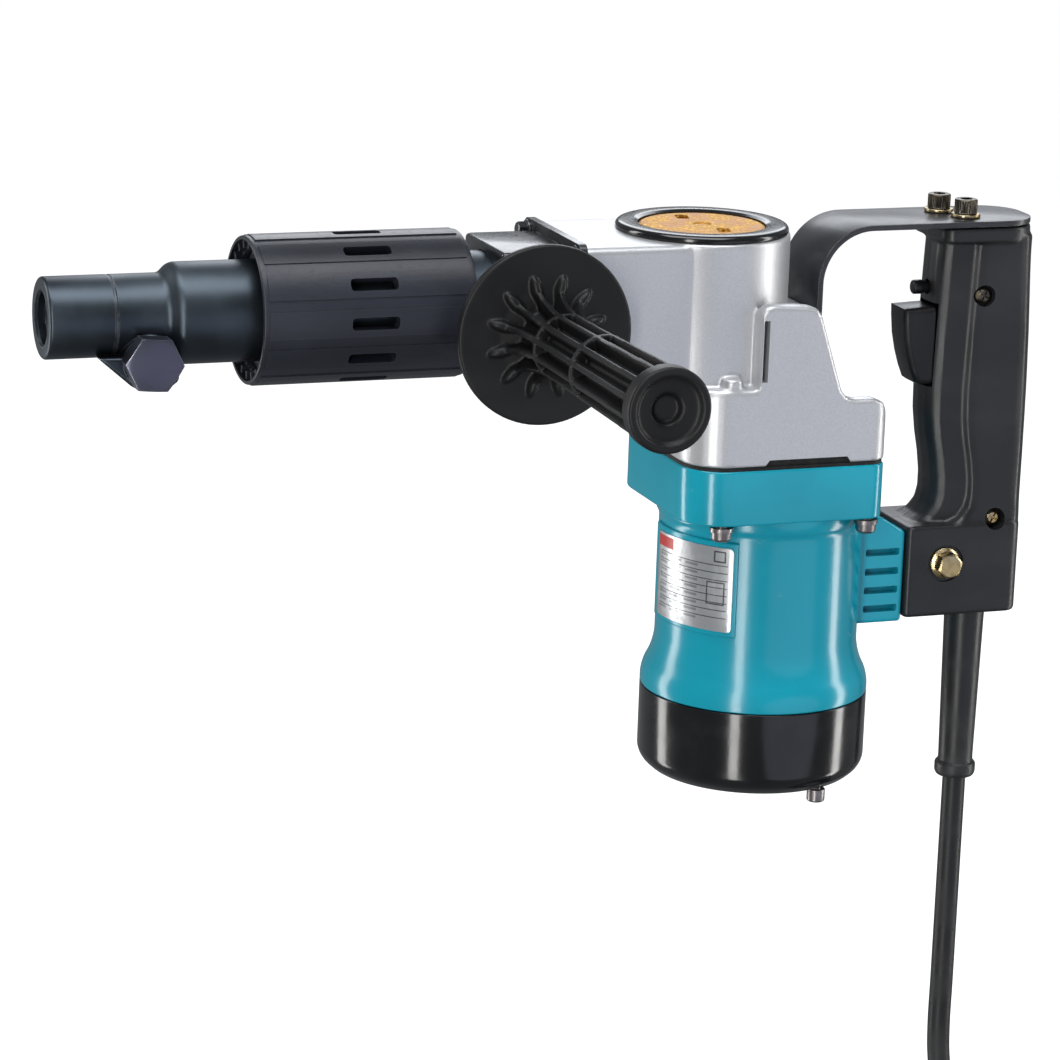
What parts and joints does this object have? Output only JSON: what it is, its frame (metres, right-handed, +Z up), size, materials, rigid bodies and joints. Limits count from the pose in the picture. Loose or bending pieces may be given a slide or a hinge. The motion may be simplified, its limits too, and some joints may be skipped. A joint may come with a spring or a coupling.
{
  "type": "demolition hammer",
  "caption": "Corded electric demolition hammer with an upright motor, a long stepped barrel, a sprung D handle on a leaf strap and a disc-guarded side grip.",
  "frame": {"origin": "in the rear grip, where the striking axis meets the grip's centre line", "axes": "-X along the striking axis towards the tool, +Z up away from the motor, -Y towards the side grip"},
  "size_m": [0.5534, 0.2532, 0.4777],
  "materials": {
    "barrel_steel": "blued black steel, satin",
    "steel": "ground steel",
    "zinc_yellow": "yellow zinc plate",
    "gold_cap": "gold chromate, stippled",
    "cast_silver": "satin silver paint on cast aluminium",
    "teal": "gloss teal plastic",
    "black_plastic": "black glass-filled nylon",
    "leaf_black": "satin black paint on spring steel",
    "rubber": "black rubber",
    "copper": "copper bars",
    "carbon": "carbon",
    "plate": "printed aluminium foil plate"
  },
  "bodies": {
    "body": {"crank_housing": "cast_silver", "motor_housing": "teal", "side_grip": "black_plastic", "handle_left": "black_plastic", "barrel": "barrel_steel", "end_cover": "black_plastic", "handle_right": "black_plastic", "barrel_sleeve": "black_plastic", "housing_gasket": "rubber", "strap": "leaf_black", "crank_cap": "black_plastic", "barrel_flange": "black_plastic", "retainer_spring": "steel", "cord": "rubber", "bearing_plate": "cast_silver", "cord_coil": "rubber", "plug": "black_plastic", "cord_guard": "rubber", "cap_plate": "gold_cap", "rating_plate": "plate", "pivot_bolt": "zinc_yellow", "cylinder_liner": "steel", "stator_core": "steel", "strap_screw_1": "barrel_steel", "strap_screw_2": "barrel_steel", "strap_anchor_1": "barrel_steel", "strap_anchor_2": "barrel_steel", "handle_screw_1": "barrel_steel", "handle_screw_2": "zinc_yellow", "crank_bearing_upper": "steel", "crank_bearing_lower": "steel", "motor_bearing_upper": "steel", "motor_bearing_lower": "steel", "housing_bolt_1": "steel", "housing_bolt_2": "steel", "housing_bolt_3": "steel", "housing_bolt_4": "steel", "cover_screw_1": "steel", "cover_screw_2": "steel", "strap_washer_1": "zinc_yellow", "strap_washer_2": "zinc_yellow", "side_grip_stud": "steel", "brush_left": "carbon", "brush_right": "carbon", "switch_body": "black_plastic"},
    "crank": {"crankshaft": "steel", "crank_gear": "steel"},
    "rotor": {"armature_shaft": "steel", "armature_core": "steel", "commutator": "copper", "cooling_fan": "black_plastic"},
    "piston": {"piston": "cast_silver", "wrist_pin": "steel"},
    "rod": {"connecting_rod": "steel"},
    "striker": {"striker": "steel"},
    "impact_bolt": {"impact_bolt": "steel"},
    "trigger": {"trigger": "black_plastic"},
    "lock_button": {"lock_button": "black_plastic"},
    "retainer_slide": {"retainer_stop": "steel"},
    "retainer": {"tool_retainer": "barrel_steel"}
  },
  "joints": [
    {"name": "crank_spin", "type": "hinge", "parent": "body", "child": "crank", "pos_m": [-0.127, 0, 0], "axis": [0, 0, 1], "continuous": true},
    {"name": "motor_spin", "type": "hinge", "parent": "body", "child": "rotor", "pos_m": [-0.094, 0, 0], "axis": [0, 0, 1], "continuous": true},
    {"name": "piston_slide", "type": "slide", "parent": "body", "child": "piston", "axis": [1, 0, 0], "range_m": [0, 0.024]},
    {"name": "rod_swing", "type": "hinge", "parent": "piston", "child": "rod", "pos_m": [-0.196, 0, 0], "axis": [0, 0, 1], "range_deg": [-12, 12]},
    {"name": "striker_slide", "type": "slide", "parent": "body", "child": "striker", "axis": [-1, 0, 0], "range_m": [-0.004, 0.01]},
    {"name": "impact_bolt_slide", "type": "slide", "parent": "body", "child": "impact_bolt", "axis": [1, 0, 0], "range_m": [0, 0.008]},
    {"name": "trigger_pull", "type": "hinge", "parent": "body", "child": "trigger", "pos_m": [-0.0215, 0, -0.04], "axis": [0, 1, 0], "range_deg": [0, 8], "stiffness_Nm_per_rad": 0.6, "springref_deg": -5.73},
    {"name": "lock_press", "type": "slide", "parent": "body", "child": "lock_button", "axis": [1, 0, 0], "range_m": [0, 0.004], "stiffness_N_per_m": 400, "springref_m": -0.001},
    {"name": "retainer_pull", "type": "slide", "parent": "body", "child": "retainer_slide", "axis": [0, -1, 0], "range_m": [0, 0.005], "stiffness_N_per_m": 1500, "springref_m": -0.002, "deforming": ["retainer_spring"]},
    {"name": "retainer_turn", "type": "hinge", "parent": "retainer_slide", "child": "retainer", "pos_m": [-0.368, 0, -0.0157], "axis": [0, 1, 0], "range_deg": [0, 180]}
  ],
  "couplings": [
    {"joint": "motor_spin", "follows": "crank_spin", "ratio": -5.6667}
  ]
}
